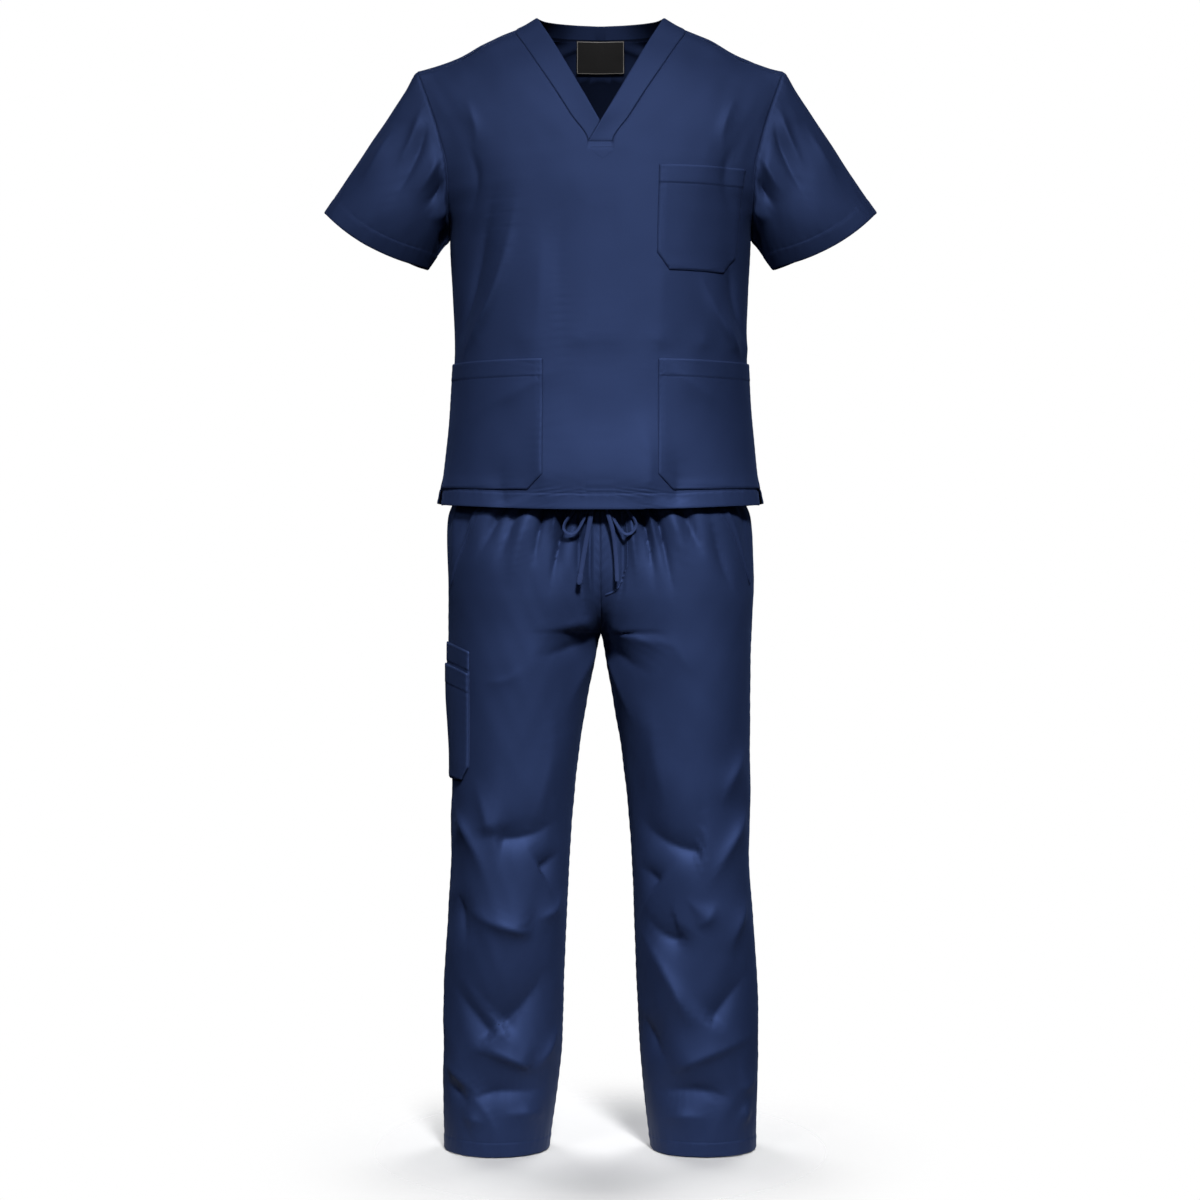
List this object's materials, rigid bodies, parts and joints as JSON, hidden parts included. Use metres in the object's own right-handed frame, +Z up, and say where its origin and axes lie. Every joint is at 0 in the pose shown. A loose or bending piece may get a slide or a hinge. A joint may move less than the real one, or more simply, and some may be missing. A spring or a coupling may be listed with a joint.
{
  "type": "two-piece medical scrub suit",
  "caption": "Short-sleeved V-neck scrub top over straight drawstring trousers with cargo pocket, hollow and as if worn, in navy cloth.",
  "frame": {"origin": "base of the neck, midway between the two high shoulder points, where the shoulders carry the suit", "axes": "+Z up, the front faces -Y, the wearer's left is +X"},
  "size_m": [0.8296, 0.264, 1.699],
  "materials": {
    "cloth": "matte navy poly-cotton twill",
    "tape": "matte navy folded tape",
    "label": "charcoal woven satin"
  },
  "bodies": {
    "root": {"top_front": "cloth", "top_back": "cloth", "sleeve_left": "cloth", "sleeve_right": "cloth", "neckband_left": "cloth", "neckband_right": "cloth", "neckband_back": "cloth", "chest_pocket": "cloth", "hip_pocket_left": "cloth", "hip_pocket_right": "cloth", "neck_label": "label", "trouser_front_left": "cloth", "trouser_front_right": "cloth", "trouser_back_left": "cloth", "trouser_back_right": "cloth", "waistband": "cloth", "cargo_pocket": "cloth", "cargo_pocket_outer": "cloth", "drawstring_knot": "tape", "drawstring_loop_left": "tape", "drawstring_loop_right": "tape", "drawstring_tail_left": "tape", "drawstring_tail_right": "tape"}
  },
  "joints": []
}
